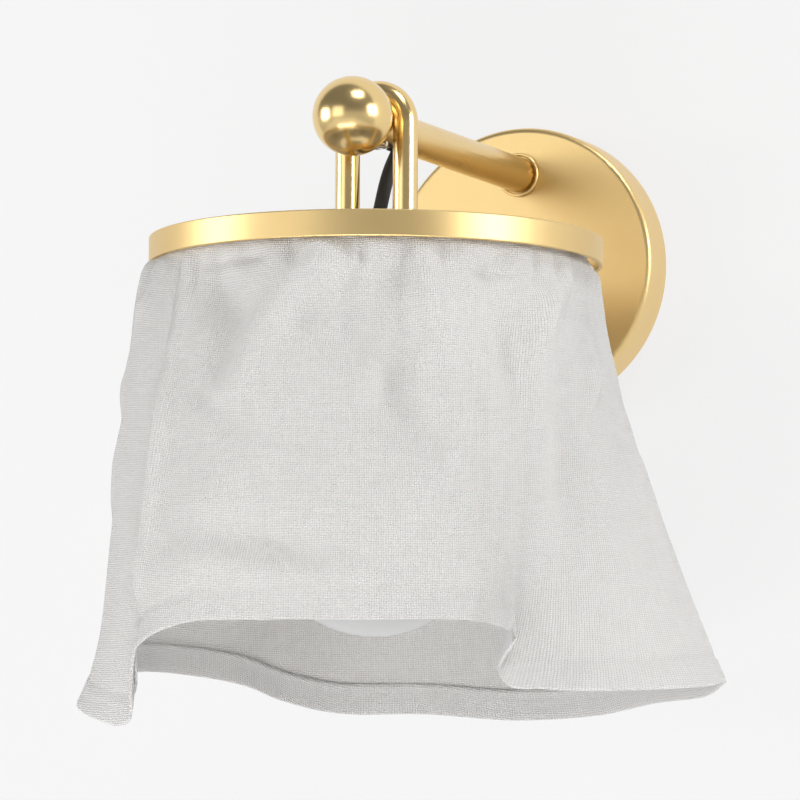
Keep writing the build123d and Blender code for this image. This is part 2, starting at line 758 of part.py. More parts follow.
def globe_profile(inset):
    """Half outline of the globe and its neck, `inset` in from the glass's outer face."""
    lip = bulb_collar_radius - neck_lip_inset - inset
    slope = radians(neck_angle)
    ball = globe_radius - inset
    join = (ball * sin(slope), globe_centre + ball * cos(slope))
    side = (ball, globe_centre)
    bottom = (0, globe_centre - ball)
    throat = ((lip + join[0]) / 2 - neck_waist, (collar_bottom + join[1]) / 2)
    with BuildLine() as outline:
        Line((0, collar_bottom), (lip, collar_bottom))
        ThreePointArc((lip, collar_bottom), throat, join)
        RadiusArc(join, side, ball)
        RadiusArc(side, bottom, ball)
        Line(bottom, (0, collar_bottom))
    return outline


with BuildPart() as bulb_globe:
    with BuildSketch(profile_plane):
        with BuildLine():
            add(globe_profile(0))
        make_face()
        with BuildLine():
            add(globe_profile(globe_glass))
        make_face(mode=Mode.SUBTRACT)
    revolve(axis=bulb_axis)
write(bulb_globe, "bulb_globe")

with BuildPart() as bulb_collar:
    with BuildSketch(shade_plane.offset(collar_bottom)):
        Circle(bulb_collar_radius)
    with BuildSketch(shade_plane.offset(base_shell_bottom)):
        Circle(base_radius)
    loft()
    with BuildSketch(shade_plane.offset(collar_bottom)):
        Circle(led_column_radius)
    extrude(amount=base_shell_bottom - collar_bottom, mode=Mode.SUBTRACT)
write(bulb_collar, "bulb_collar")

with BuildPart() as led_column:
    with BuildSketch(shade_plane.offset(base_shell_bottom - led_column_length)):
        Circle(led_column_radius)
    extrude(amount=led_column_length)
    strip_length = led_column_length - bulb_collar_height - 2 * led_strip_margin
    with BuildSketch(shade_plane.offset(base_shell_bottom - led_column_length + led_strip_margin)):
        with PolarLocations(led_column_radius, led_strip_count):
            Rectangle(2 * led_strip_depth, led_strip_width)
    extrude(amount=strip_length)
write(led_column, "led_column")

# ---- linen shade -------------------------------------------------------------------------------------


def fold_radius(direction, depth):
    """Cloth radius at a direction in degrees; depth is 0 at the ring and 1 at the lowest hem.

    Between two fold lines the radius eases over on half a cosine. Down the cloth it follows the
    parabola through the ring's circle, the half-way radius and the hem radius."""
    ordered = sorted((angle % 360, middle, hem) for angle, middle, hem in folds)
    direction %= 360
    wrapped = [(ordered[-1][0] - 360, *ordered[-1][1:]), *ordered, (ordered[0][0] + 360, *ordered[0][1:])]
    for near, far in zip(wrapped, wrapped[1:]):
        if near[0] <= direction <= far[0]:
            blend = (1 - cos(pi * (direction - near[0]) / (far[0] - near[0]))) / 2
            middle = near[1] + blend * (far[1] - near[1])
            hem = near[2] + blend * (far[2] - near[2])
    return (cloth_top_radius * (1 - depth) * (1 - 2 * depth) + 4 * middle * depth * (1 - depth)
            + hem * depth * (2 * depth - 1))


def cloth_section(depth, height, inset):
    """Closed outline of short arcs round the cloth at one level."""
    count = 2 * cloth_arcs
    points = []
    for index in range(count):
        direction = 360 * index / count
        radius = fold_radius(direction, depth) - inset
        points.append((radius * cos(radians(direction)), radius * sin(radians(direction))))
    with BuildSketch(shade_plane.offset(height)) as section:
        with BuildLine():
            for index in range(0, count, 2):
                ThreePointArc(points[index], points[index + 1], points[(index + 2) % count])
        make_face()
    return section.sketch


def cloth_sections(inset, overrun):
    """Outlines from the ring down to the hem, with the first and last moved out by overrun."""
    sections = []
    for level in range(cloth_levels):
        depth = level / (cloth_levels - 1)
        height = cloth_top + depth * (cloth_end - cloth_top)
        height += overrun * ((level == 0) - (level == cloth_levels - 1))
        sections.append(cloth_section(depth, height, inset))
    return sections


outer_sections = cloth_sections(0, 0)
inner_sections = cloth_sections(cloth_thickness, cloth_core_overrun)
turn = radians(view_turn)
with BuildPart() as fabric_shade:
    loft(sections=outer_sections)
    loft(sections=inner_sections, mode=Mode.SUBTRACT)
    for hem, side in ((front_hem, 1), (back_hem, -1)):
        upright = Plane(origin=(0, -yoke_offset, 0), x_dir=(cos(turn), sin(turn), 0),
                        z_dir=(sin(turn), -cos(turn), 0))
        with BuildSketch(upright):
            with BuildLine():
                Polyline(*hem, (hem[-1][0], hem_cut_floor), (hem[0][0], hem_cut_floor), close=True)
            make_face()
        extrude(amount=side * hem_cut_reach, mode=Mode.SUBTRACT)
write(fabric_shade, "fabric_shade")
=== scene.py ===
import bmesh
import bpy
import numpy as np
from mathutils import Matrix, Vector


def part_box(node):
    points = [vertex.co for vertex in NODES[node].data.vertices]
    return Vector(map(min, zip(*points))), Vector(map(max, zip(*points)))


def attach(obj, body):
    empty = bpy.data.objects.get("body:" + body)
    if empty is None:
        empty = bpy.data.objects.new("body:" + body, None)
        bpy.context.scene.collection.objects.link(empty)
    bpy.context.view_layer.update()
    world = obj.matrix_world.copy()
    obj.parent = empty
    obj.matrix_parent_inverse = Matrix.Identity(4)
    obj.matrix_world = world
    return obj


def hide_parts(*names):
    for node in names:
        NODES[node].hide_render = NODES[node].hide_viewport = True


# Fabric shade wall light: a brass plate and arm on the wall, a linen shade hung under a brass hoop.

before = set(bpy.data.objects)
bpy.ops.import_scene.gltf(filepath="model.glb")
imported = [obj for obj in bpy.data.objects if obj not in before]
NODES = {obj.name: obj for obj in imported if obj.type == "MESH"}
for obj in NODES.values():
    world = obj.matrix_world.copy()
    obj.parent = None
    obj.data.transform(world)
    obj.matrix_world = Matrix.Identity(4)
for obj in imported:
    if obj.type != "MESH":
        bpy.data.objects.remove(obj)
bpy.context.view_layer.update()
MM = 0.001

# ---- places taken from the frame -----------------------------------------------------------------------


def middle(node):
    """Centre of a node's box, in metres."""
    low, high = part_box(node)
    return (low + high) / 2


HUB = middle("shade_hoop")
HUB_X, HUB_Y = HUB.x, HUB.y
WIRE_LOW, WIRE_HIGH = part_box("fabric_ring")
WIRE_Z = (WIRE_LOW.z + WIRE_HIGH.z) / 2
WIRE_THICKNESS = WIRE_HIGH.z - WIRE_LOW.z
WIRE_RADIUS = (WIRE_HIGH.x - WIRE_LOW.x - WIRE_THICKNESS) / 2

# ---- camera --------------------------------------------------------------------------------------------

PHOTO_SIZE = 800
VIEW_TURN = 23.95  # degrees round from square on, to the light's right
VIEW_RISE = -6.15  # degrees above level, so the camera looks up
VIEW_ROLL = 0.3
VIEW_DISTANCE = 2.2
MM_PER_PIXEL = 0.401  # at the hoop
HOOP_PIXEL = (376.0, 240.5)  # where the centre of the hoop's upper edge stands in the photograph
SENSOR = 36.0  # mm
SIGHT_END = 20.0


def make_camera():
    """The camera whose axis looks through the photograph's centre, placed by the hoop's own pixel."""
    turn, rise, roll = np.radians([VIEW_TURN, VIEW_RISE, VIEW_ROLL])
    back = Vector((np.sin(turn) * np.cos(rise), -np.cos(turn) * np.cos(rise), np.sin(rise)))
    level = Vector((np.cos(turn), np.sin(turn), 0))
    upright = back.cross(level)
    right = level * np.cos(roll) + upright * np.sin(roll)
    up = upright * np.cos(roll) - level * np.sin(roll)
    focal_pixels = VIEW_DISTANCE / (MM_PER_PIXEL * MM)
    across = (HOOP_PIXEL[0] - PHOTO_SIZE / 2) / focal_pixels
    down = (HOOP_PIXEL[1] - PHOTO_SIZE / 2) / focal_pixels
    ray = right * across - up * down - back
    hoop_top = Vector((HUB_X, HUB_Y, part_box("shade_hoop")[1].z))
    data = bpy.data.cameras.new("camera")
    data.sensor_width = SENSOR
    data.lens = focal_pixels / PHOTO_SIZE * SENSOR
    data.clip_end = SIGHT_END
    camera = bpy.data.objects.new("camera", data)
    axes = Matrix((right, up, back)).transposed()
    camera.matrix_world = Matrix.Translation(hoop_top - ray * VIEW_DISTANCE) @ axes.to_4x4()
    bpy.context.scene.collection.objects.link(camera)
    bpy.context.scene.camera = camera


make_camera()

# ---- mesh helpers --------------------------------------------------------------------------------------


def grid_mesh(name, points, uv):
    """Smooth mesh of quads over an array of points (rows, columns, 3), closed round across the columns.

    Faces point outwards where the rows run down and the columns against the clock, seen from above. uv is
    (rows, columns + 1, 2) in metres, so that the seam keeps its own coordinate on each side."""
    rows, columns = points.shape[:2]
    row, column = np.meshgrid(np.arange(rows - 1), np.arange(columns), indexing="ij")
    next_column = (column + 1) % columns
    quads = np.stack([row * columns + column, (row + 1) * columns + column,
                      (row + 1) * columns + next_column, row * columns + next_column], -1)
    mesh = bpy.data.meshes.new(name)
    mesh.from_pydata(points.reshape(-1, 3).tolist(), [], quads.reshape(-1, 4).tolist())
    corners = np.stack([uv[row, column], uv[row + 1, column], uv[row + 1, column + 1],
                        uv[row, column + 1]], -2)
    layer = mesh.uv_layers.new(name="cloth")
    layer.data.foreach_set("uv", corners.reshape(-1).astype(np.float32))
    mesh.polygons.foreach_set("use_smooth", np.full(len(mesh.polygons), True))
    mesh.update()
    piece = bpy.data.objects.new(name, mesh)
    bpy.context.scene.collection.objects.link(piece)
    return piece


def finish_piece(piece, material, body="light"):
    """Gives a piece its one material and the body that it rides on."""
    piece.data.materials.clear()
    piece.data.materials.append(material)
    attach(piece, body)


# ---- linen shade ---------------------------------------------------------------------------------------

SHADE_TURN = np.radians(24.0)  # the folds are described as seen from the front right
CLOTH_COLUMNS = 400
CLOTH_ROWS = 104
CLOTH_THICKNESS = 0.55  # mm
CLOTH_GAP = 0.45  # mm between the wire and the cloth
HEM_TURN_UP = 11.0  # mm of cloth folded up inside the hem
HEM_SPACING = CLOTH_THICKNESS * 1.5  # mm between the middles of the hem's two layers
HEM_FOLD_ROWS = 5
LIP_ROWS = 4

# The hem's course round the shade. Each row: direction on the wire ring in degrees from the right towards
# the back, then the hem's place in mm (right, towards the viewer, height), how late the cloth flares, and
# how far it kicks out to the right just above the hem.
HEM = [
    (-12, 127, 50, -188, 1.30, 0),
    (-3, 137, 24, -185, 1.25, 0),
    (9, 139, -5, -184, 1.20, 0),
    (22, 134, -36, -187, 1.15, 0),
    (38, 115, -76, -188, 1.10, 0),
    (52, 92, -98, -192, 1.00, 0),
    (66, 60, -110, -193.5, 1.00, 0),
    (82, 22, -114, -191, 1.00, 0),
    (98, -15, -110, -191, 1.00, 0),
    (112, -38, -100, -186.5, 0.95, 0),
    (124, -53, -90, -181, 0.90, 0),
    (140, -78, -70, -177.5, 0.75, 0),
    (156, -96, -45, -178, 0.60, 0),
    (171, -107, -15, -183, 0.45, 0),
    (183, -114, 12, -190, 0.35, -8),
    (192, -115, 32, -197, 0.40, -8),
    (199, -107, 52, -202, 0.55, -4),
    (204, -98, 67, -205, 0.70, 0),
    (208, -93, 75, -202, 0.75, 0),
    (211, -93, 76, -189, 0.80, 0),
    (214, -92, 77, -179, 0.80, 0),
    (219, -88, 79, -173, 0.85, 0),
    (228, -74, 85, -167, 0.90, 0),
    (244, -42, 90, -165.5, 1.00, 0),
    (266, -5, 92, -165.5, 1.00, 0),
    (288, 30, 90, -165, 1.05, 0),
    (299, 43, 88, -166, 1.10, 0),
    (306, 51, 94, -169, 1.20, 0),
    (311, 54, 99, -174, 1.30, 0),
    (314, 50, 96, -180, 1.40, 0),
    (317, 48, 94, -185, 1.40, 0),
    (320, 51, 97, -190, 1.40, 0),
    (327, 66, 101, -192, 1.35, 0),
    (337, 90, 92, -192, 1.30, 0),
]
KICK_POWER = 9  # so late does the kick come in on the way down

# Soft ridges (above zero) and hollows (below zero) in the hanging cloth: height and half width in mm,
# then the places that each runs through, as (direction on the ring, share of the way down).
DRAG_FOLDS = [
    (-3.2, 12, [(222, 0.09), (236, 0.25)]),
    (-2.4, 9, [(233, 0.24), (228, 0.40)]),
    (-3.0, 12, [(246, 0.20), (275, 0.27)]),
    (-2.0, 11, [(262, 0.26), (275, 0.41)]),
    (-2.5, 7, [(275, 0.31), (272, 0.44), (283, 0.54)]),
    (-1.8, 8, [(273, 0.06), (276, 0.18)]),
    (-2.0, 7, [(296, 0.08), (305, 0.08)]),
    (-2.0, 7, [(305, 0.16), (310, 0.38)]),
    (-1.5, 6, [(225, 0.40), (238, 0.53)]),
    (-1.6, 6, [(238, 0.80), (252, 0.83)]),
    (-2.8, 13, [(328, 0.35), (330, 0.62)]),
    (-0.7, 3, [(298, 0.10), (322, 0.09)]),
    (3.0, 8, [(265, 0.04), (250, 0.12), (238, 0.26), (231, 0.42)]),
    (3.0, 9, [(282, 0.10), (288, 0.29)]),
    (2.6, 9, [(317, 0.14), (321, 0.45), (321, 0.68)]),
    (2.6, 6, [(332, 0.05), (322, 0.14), (318, 0.24)]),
    (2.2, 6, [(342, 0.23), (340, 0.34)]),
    (2.2, 6, [(211, 0.25), (214, 0.46), (215, 0.64), (215, 0.85)]),
    (1.6, 22, [(271, 0.64), (283, 0.75)]),
    (1.0, 5, [(260, 0.86), (269, 0.92)]),
    (1.5, 9, [(214, 0.80), (235, 0.86), (254, 0.90), (272, 0.94)]),
    (-1.2, 7, [(222, 0.73), (240, 0.78), (256, 0.83)]),
    (-1.5, 2.2, [(241, 0.01), (239, 0.05), (220, 0.06)]),
    (-2.0, 2.0, [(267, 0.01), (266, 0.08)]),
    (1.4, 7, [(195, 0.11), (195, 0.18)]),
    (1.2, 7, [(188, 0.28), (182, 0.38)]),
    (1.1, 8, [(189, 0.44), (180, 0.61)]),
    (-0.7, 5, [(342, 0.36), (2, 0.43)]),
    (0.9, 9, [(340, 0.67), (344, 0.80)]),
    (-2.0, 10, [(20, 0.10), (34, 0.40)]),
    (1.8, 8, [(48, 0.05), (44, 0.50), (50, 0.85)]),
    (-2.0, 11, [(75, 0.12), (80, 0.45)]),
    (1.7, 8, [(100, 0.06), (93, 0.40), (98, 0.70)]),
    (-2.0, 10, [(125, 0.15), (118, 0.50)]),
    (1.8, 7, [(148, 0.05), (150, 0.45), (146, 0.80)]),
    (-1.5, 9, [(168, 0.20), (165, 0.55)]),
]
FOLD_SCALE = 2.2
FOLD_ENDS = 0.45  # share of a fold's height that is left at both ends of its course

GATHER_COUNT = 30
GATHER_SWAY = [(3, 1.3, 1.0), (7, 4.0, 0.5), (11, 2.2, 0.3)]  # waves that make the gathers uneven
GATHER_HEIGHT = 5.5  # mm
GATHER_POWER = 1.3
GATHER_SIZES = (0.65, 0.35)  # middle and swing of their height round the shade
GATHER_SIZE_WAVES = [(5, 0.7), (2, 2.1)]
GATHER_REACH = (0.08, 0.22)  # shortest and longest share of the way down
GATHER_REACH_WAVES = (9, 2, 4)
GATHER_RISE = 30  # so steeply do they rise under the ring
GATHER_FALL = 1.6  # and so sharply do they end at their reach

WRINKLE_COUNT = 60
WRINKLE_HEIGHT = 0.5  # mm
WRINKLE_LENGTH = (18, 60)  # mm, shortest and longest wave
WRINKLE_SPREAD = (18, 45)  # mm, smallest and largest bell
WRINKLE_TOP = 15  # mm below the ring, where the first ones may stand
FLAT_TOP = 0.1  # share of the way down over which folds and wrinkles grow from nothing

HEM_CALM = 16.0  # degrees over which the cloth above the hem evens out the fold at the hem's front right
HEM_GRIP = 6.0  # so late do the hem's own turns come in on the way down
HEM_FOLD = (313.0, 30.0)  # where that fold stands on the ring, and its spread
HEM_BAND = 0.35  # mm that the doubled hem stands out
STITCH_GROOVE = 0.5  # mm
STITCH_WIDTH = 1.3
SMALLEST = 1e-12  # below this a length counts as nothing


def around_ring(share):
    """Direction on the ring in degrees and the interpolated hem rows, for shares 0 to 1 of the way round.

    The rows are joined by cubic Hermite pieces whose slopes are the gap-weighted mean of their two chords."""
    rows = np.array(HEM, float)
    count = len(rows)
    knots = np.append(rows[:, 0] - rows[0, 0], 360.0)
    index = np.clip(np.searchsorted(knots, share * 360.0, side="right") - 1, 0, count - 1)
    gaps = np.diff(knots)

    def value(step):
        return rows[(index + step) % count, 1:]

    def gap(step):
        return gaps[(index + step) % count][:, None]

    def slope(step):
        before = (value(step) - value(step - 1)) / gap(step - 1)
        after = (value(step + 1) - value(step)) / gap(step)
        return (before * gap(step) + after * gap(step - 1)) / (gap(step) + gap(step - 1)) * gap(0)

    x = ((share * 360.0 - knots[index]) / gaps[index])[:, None]
    hem = ((2 * x**3 - 3 * x**2 + 1) * value(0) + (x**3 - 2 * x**2 + x) * slope(0)
           + (3 * x**2 - 2 * x**3) * value(1) + (x**3 - x**2) * slope(1))
    return rows[0, 0] + share * 360.0, hem


def to_frame(right, near, height):
    """Places given as right, near the viewer and height in mm, as points of the frame in metres."""
    x = HUB_X + (right * np.cos(SHADE_TURN) + near * np.sin(SHADE_TURN)) * MM
    y = HUB_Y + (right * np.sin(SHADE_TURN) - near * np.cos(SHADE_TURN)) * MM
    return np.stack([x, y, height * MM], -1)


def unit(vectors):
    """Vectors brought to length one."""
    return vectors / np.maximum(np.linalg.norm(vectors, axis=-1, keepdims=True), SMALLEST)


def outward(points):
    """Unit normals of a grid closed across, from the cross product of its two central differences."""
    across = np.roll(points, -1, 1) - np.roll(points, 1, 1)
    down = np.gradient(points, axis=0)
    return unit(np.cross(down, across))


def near_course(across, down, girth, course):
    """Distance in mm on the flat cloth from each point to a course of straight runs, and how far along."""
    best = np.full(across.shape, np.inf)
    along = np.zeros(across.shape)
    runs = len(course) - 1
    for index, (start, end) in enumerate(zip(course, course[1:])):
        run = end - start
        run[0] = (run[0] + girth / 2) % girth - girth / 2
        offset_across = (across - start[0] + girth / 2) % girth - girth / 2
        offset_down = down - start[1]
        share = np.clip((offset_across * run[0] + offset_down * run[1]) / (run @ run), 0, 1)
        distance = np.hypot(offset_across - share * run[0], offset_down - share * run[1])
        closer = distance < best
        best = np.where(closer, distance, best)
        along = np.where(closer, (index + share) / runs, along)
    return best, along


def evened(values):
    """Values round the ring averaged with a bell-shaped weight of the hem's calming width."""
    steps = np.arange(CLOTH_COLUMNS)
    turns = np.minimum(steps, CLOTH_COLUMNS - steps) * 360 / CLOTH_COLUMNS
    weight = np.exp(-(turns / HEM_CALM) ** 2)
    spectrum = np.fft.rfft(values, axis=0) * np.fft.rfft(weight / weight.sum())[:, None]
    return np.fft.irfft(spectrum, n=CLOTH_COLUMNS, axis=0)


def gathers(direction, down):
    """Puffs between the places where the cloth is drawn together: h |sin(n a / 2 + sway)|^1.3, in mm.

    They rise quickly under the ring and die away over a reach that changes round the shade."""
    sway = sum(size * np.sin(count * direction + turn) for count, turn, size in GATHER_SWAY)
    puff = np.abs(np.sin(GATHER_COUNT * direction / 2 + sway)) ** GATHER_POWER
    waves = [np.sin(count * direction + turn) for count, turn in GATHER_SIZE_WAVES]
    size = GATHER_SIZES[0] + GATHER_SIZES[1] * waves[0] * waves[1]
    short, long = GATHER_REACH
    count, swing, inner_count = GATHER_REACH_WAVES
    uneven = np.sin(count * direction + swing * np.sin(inner_count * direction))
    reach = short + (long - short) * (0.5 + 0.5 * uneven)
    fade = np.clip(down * GATHER_RISE, 0, 1) * np.exp(-((down / reach) ** GATHER_FALL))
    return GATHER_HEIGHT * size * puff * fade


def hanging_surface():
    """The cloth before its folds: directions in radians, shares of the way down, and points in metres.

    Each column falls from the wire ring to the hem. Its height is even in the share s of the way down. Its
    plan place moves from the ring to the evened hem as s to the power of the row's ease, plus a kick as s
    to the ninth, plus the hem's own turns as s to the sixth."""
    share = np.arange(CLOTH_COLUMNS) / CLOTH_COLUMNS
    degrees, hem = around_ring(share)
    direction = np.radians(degrees)
    beside = (degrees - HEM_FOLD[0] + 180) % 360 - 180
    calm = hem[:, :2] + (evened(hem[:, :2]) - hem[:, :2]) * np.exp(-((beside / HEM_FOLD[1]) ** 2))[:, None]
    ring = (WIRE_RADIUS + WIRE_THICKNESS / 2) / MM + CLOTH_GAP
    down = np.linspace(0, 1, CLOTH_ROWS)[:, None]
    eased = down ** hem[:, 3]
    top_z = WIRE_Z / MM
    grip = down**HEM_GRIP
    right = ring * np.cos(direction) * (1 - eased) + (calm[:, 0] - hem[:, 4]) * eased
    right = right + hem[:, 4] * down**KICK_POWER + (hem[:, 0] - calm[:, 0]) * grip
    near = -ring * np.sin(direction) * (1 - eased) + calm[:, 1] * eased + (hem[:, 1] - calm[:, 1]) * grip
    height = top_z + (hem[:, 2] - top_z) * down
    return direction, down, to_frame(right, near, height)


def flat_cloth(points):
    """Each point's place on the cloth laid flat, in mm across and down, with the girth and the mean drop."""
    steps = np.linalg.norm(np.roll(points, -1, 1) - points, axis=-1)[CLOTH_ROWS // 2] / MM
    girth = float(steps.sum())
    flat_across = np.broadcast_to(np.cumsum(steps) - steps[0], (CLOTH_ROWS, CLOTH_COLUMNS))
    falls = np.linalg.norm(np.diff(points, axis=0), axis=-1) / MM
    flat_down = np.vstack([np.zeros(CLOTH_COLUMNS), np.cumsum(falls, 0)])
    return flat_across, flat_down, girth, float(flat_down[-1].mean())


def drag_folds(flat_across, flat_down, girth):
    """Long folds in mm: h exp(-(d / width)^2), for d the distance on the flat cloth to the fold's course."""
    push = np.zeros((CLOTH_ROWS, CLOTH_COLUMNS))
    for height, width, course in DRAG_FOLDS:
        places = []
        for ring_place, fall in course:
            column = int(round((ring_place - HEM[0][0]) % 360 / 360 * CLOTH_COLUMNS)) % CLOTH_COLUMNS
            places.append(np.array([flat_across[0, column], fall * flat_down[-1, column]]))
        distance, along = near_course(flat_across, flat_down, girth, np.array(places))
        fade = FOLD_ENDS + (1 - FOLD_ENDS) * np.sin(np.pi * np.clip(along, 0, 1))
        push += FOLD_SCALE * height * fade * np.exp(-((distance / width) ** 2))
    return push


def wrinkles(flat_across, flat_down, girth, drop):
    """Small wrinkles in mm: cosine waves in any direction, each inside a round bell."""
    push = np.zeros((CLOTH_ROWS, CLOTH_COLUMNS))
    chance = np.random.default_rng(7)
    for _ in range(WRINKLE_COUNT):
        slant = chance.uniform(0, np.pi)
        length = chance.uniform(*WRINKLE_LENGTH)
        place = np.array([chance.uniform(0, girth), chance.uniform(WRINKLE_TOP, drop)])
        spread = chance.uniform(*WRINKLE_SPREAD)
        off_across = (flat_across - place[0] + girth / 2) % girth - girth / 2
        off_down = flat_down - place[1]
        wave = np.cos(2 * np.pi * (off_across * np.cos(slant) + off_down * np.sin(slant)) / length)
        bell = np.exp(-(off_across**2 + off_down**2) / spread**2)
        push += WRINKLE_HEIGHT * length / WRINKLE_LENGTH[1] * wave * bell
    return push


def cloth_surface():
    """The hanging cloth: its points (rows, columns, 3) in metres and its flat coordinates in mm.

    Folds, wrinkles and gathers stand off the hanging surface along its normal. The doubled hem stands out
    a little below a stitched groove."""
    direction, down, points = hanging_surface()
    flat_across, flat_down, girth, drop = flat_cloth(points)
    push = drag_folds(flat_across, flat_down, girth) + wrinkles(flat_across, flat_down, girth, drop)
    push *= np.clip(down / FLAT_TOP, 0, 1)
    push += gathers(direction, down)
    above_hem = flat_down[-1] - flat_down
    push += HEM_BAND * np.clip((HEM_TURN_UP - above_hem) / STITCH_WIDTH, 0, 1)
    push -= STITCH_GROOVE * np.exp(-(((above_hem - HEM_TURN_UP) / STITCH_WIDTH) ** 2))
    points = points + outward(points) * (push * MM)[..., None]
    return points, flat_across, flat_down, girth, drop


def make_shade(material):
    """The cloth from the top of the wire ring down to the hem, folded round and up inside the shade.

    Over the ring it is a quarter circle about the wire. The hem's fold is a half circle as wide as the
    hem's spacing, and the turn-up follows the outer cloth, moved in along the normal."""
    points, flat_across, flat_down, girth, drop = cloth_surface()
    normals = outward(points)

    angles = np.linspace(np.pi / 2, 0, LIP_ROWS + 1)[:-1, None]
    direction = np.radians(around_ring(np.arange(CLOTH_COLUMNS) / CLOTH_COLUMNS)[0])
    reach = WIRE_THICKNESS / 2 / MM + CLOTH_GAP
    lip_radius = WIRE_RADIUS / MM + reach * np.cos(angles)
    lip_height = WIRE_Z / MM + reach * np.sin(angles) + 0 * direction
    lip = to_frame(lip_radius * np.cos(direction), -lip_radius * np.sin(direction), lip_height)

    fold_angles = np.linspace(0, np.pi, HEM_FOLD_ROWS + 1)[1:, None, None]
    fall = unit(points[-1] - points[-2])
    turned = -normals[-1] * (1 - np.cos(fold_angles)) + fall * np.sin(fold_angles)
    fold = points[-1] + turned * HEM_SPACING / 2 * MM

    row_gap = drop / (CLOTH_ROWS - 1)
    turn_rows = int(round(HEM_TURN_UP / row_gap))
    rows = np.arange(CLOTH_ROWS - 2, CLOTH_ROWS - 2 - turn_rows, -1)
    turn_up = points[rows] - normals[rows] * HEM_SPACING * MM
    grid = np.concatenate([lip, points, fold, turn_up])

    across = np.append(flat_across[0], girth)
    lip_down = -reach * angles * np.ones(CLOTH_COLUMNS)
    fold_down = flat_down[-1] + HEM_SPACING / 2 * fold_angles[:, :, 0]
    turn_down = fold_down[-1] + np.arange(1, turn_rows + 1)[:, None] * row_gap
    down = np.concatenate([lip_down, flat_down, fold_down, turn_down])
    down = np.concatenate([down, down[:, :1]], 1)
    uv = np.stack([np.broadcast_to(across, down.shape), -down], -1) * MM
    shade = grid_mesh("linen_shade", grid, uv)
    solid = shade.modifiers.new("thickness", "SOLIDIFY")
    solid.thickness = CLOTH_THICKNESS * MM
    solid.offset = 0
    finish_piece(shade, material)
    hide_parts("fabric_shade")


# ---- cord ----------------------------------------------------------------------------------------------

CORD_DIAMETER = 0.0056
CORD_ROUTE = [  # distance from the wall and height, in metres, as the cord hangs
    (0.1453, 0.0320),
    (0.1516, 0.0257),
    (0.1570, 0.0182),
    (0.1613, 0.0097),
    (0.1670, -0.0028),
    (0.1670, -0.0170),
]
CORD_SIDES = 20
CORD_RINGS_PER_METRE = 2600
CORD_LINE_STEPS = 24  # of the smooth line, between two control points
LINE_ORDER = 3  # a quadratic line


def smooth_route(name, places):
    """Points of a quadratic NURBS line that has the given places as its control points."""
    data = bpy.data.curves.new(name, "CURVE")
    data.dimensions = "3D"
    data.resolution_u = CORD_LINE_STEPS
    line = data.splines.new("NURBS")
    line.points.add(len(places) - 1)
    for point, (out, height) in zip(line.points, places):
        point.co = (0, -out, height, 1)
    line.order_u = LINE_ORDER
    line.use_endpoint_u = True
    guide = bpy.data.objects.new(name, data)
    bpy.context.scene.collection.objects.link(guide)
    bpy.context.view_layer.update()
    mesh = bpy.data.meshes.new_from_object(guide)
    points = np.array([vertex.co[:] for vertex in mesh.vertices])
    bpy.data.objects.remove(guide)
    bpy.data.meshes.remove(mesh)
    return points


def make_cord(material):
    """The cord as a round tube along its smooth line: for angle a round the tube, a point stands off the
    line by R (cos a times the level side direction + sin a times the one square to it and to the line)."""
    line = smooth_route("cord_line", CORD_ROUTE)
    lengths = np.append(0, np.cumsum(np.linalg.norm(np.diff(line, axis=0), axis=1)))
    rings = int(lengths[-1] * CORD_RINGS_PER_METRE)
    along = np.linspace(0, lengths[-1], rings)
    centre = np.stack([np.interp(along, lengths, line[:, axis]) for axis in range(3)], 1)
    tangent = unit(np.gradient(centre, axis=0))
    side = np.tile([1.0, 0.0, 0.0], (rings, 1))
    other = np.cross(tangent, side)
    angle = np.linspace(0, 2 * np.pi, CORD_SIDES, endpoint=False)
    radius = CORD_DIAMETER / 2
    grid = (centre[:, None] + side[:, None] * (radius * np.cos(angle))[:, None]
            + other[:, None] * (radius * np.sin(angle))[:, None])
    around = np.append(angle, 2 * np.pi) * radius
    uv = np.stack(np.broadcast_arrays(around[None, :], along[:, None]), -1)
    cord = grid_mesh("black_cord", grid, uv)
    close_ends(cord, rings, CORD_SIDES)
    finish_piece(cord, material)
    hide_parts("cord_drop")


def close_ends(piece, rows, columns):
    """Caps the first and last rows of a tube made by grid_mesh with one flat face each."""
    work = bmesh.new()
    work.from_mesh(piece.data)
    work.verts.ensure_lookup_table()
    first = [work.verts[i] for i in range(columns)]
    last = [work.verts[(rows - 1) * columns + i] for i in range(columns)]
    work.faces.new(first)
    work.faces.new(list(reversed(last)))
    bmesh.ops.recalc_face_normals(work, faces=work.faces)
    work.to_mesh(piece.data)
    work.free()


# ---- shader groups -------------------------------------------------------------------------------------


class Group:
    """A shader node group with named inputs and outputs, built once."""

    def __init__(self, name, inputs, outputs):
        self.tree = bpy.data.node_groups.new(name, "ShaderNodeTree")
        for label, kind, value in inputs:
            socket = self.tree.interface.new_socket(label, in_out="INPUT", socket_type=kind)
            if value is not None:
                socket.default_value = value
        for label, kind in outputs:
            self.tree.interface.new_socket(label, in_out="OUTPUT", socket_type=kind)
        self.inside = self.tree.nodes.new("NodeGroupInput").outputs
        self.out = self.tree.nodes.new("NodeGroupOutput").inputs


def feed(tree, socket, source):
    """Gives an input a value, or a link from another node's output."""
    if isinstance(source, bpy.types.NodeSocket):
        tree.links.new(source, socket)
    else:
        socket.default_value = source


def add_node(tree, kind, inputs=(), **settings):
    """A node of a tree with its settings, and its inputs by name or number."""
    node = tree.nodes.new(kind)
    for key, value in settings.items():
        setattr(node, key, value)
    for name, source in dict(inputs).items():
        feed(tree, node.inputs[name], source)
    return node


def maths(tree, operation, first, second=0.0):
    """The output of a Math node."""
    return add_node(tree, "ShaderNodeMath", {0: first, 1: second}, operation=operation).outputs[0]


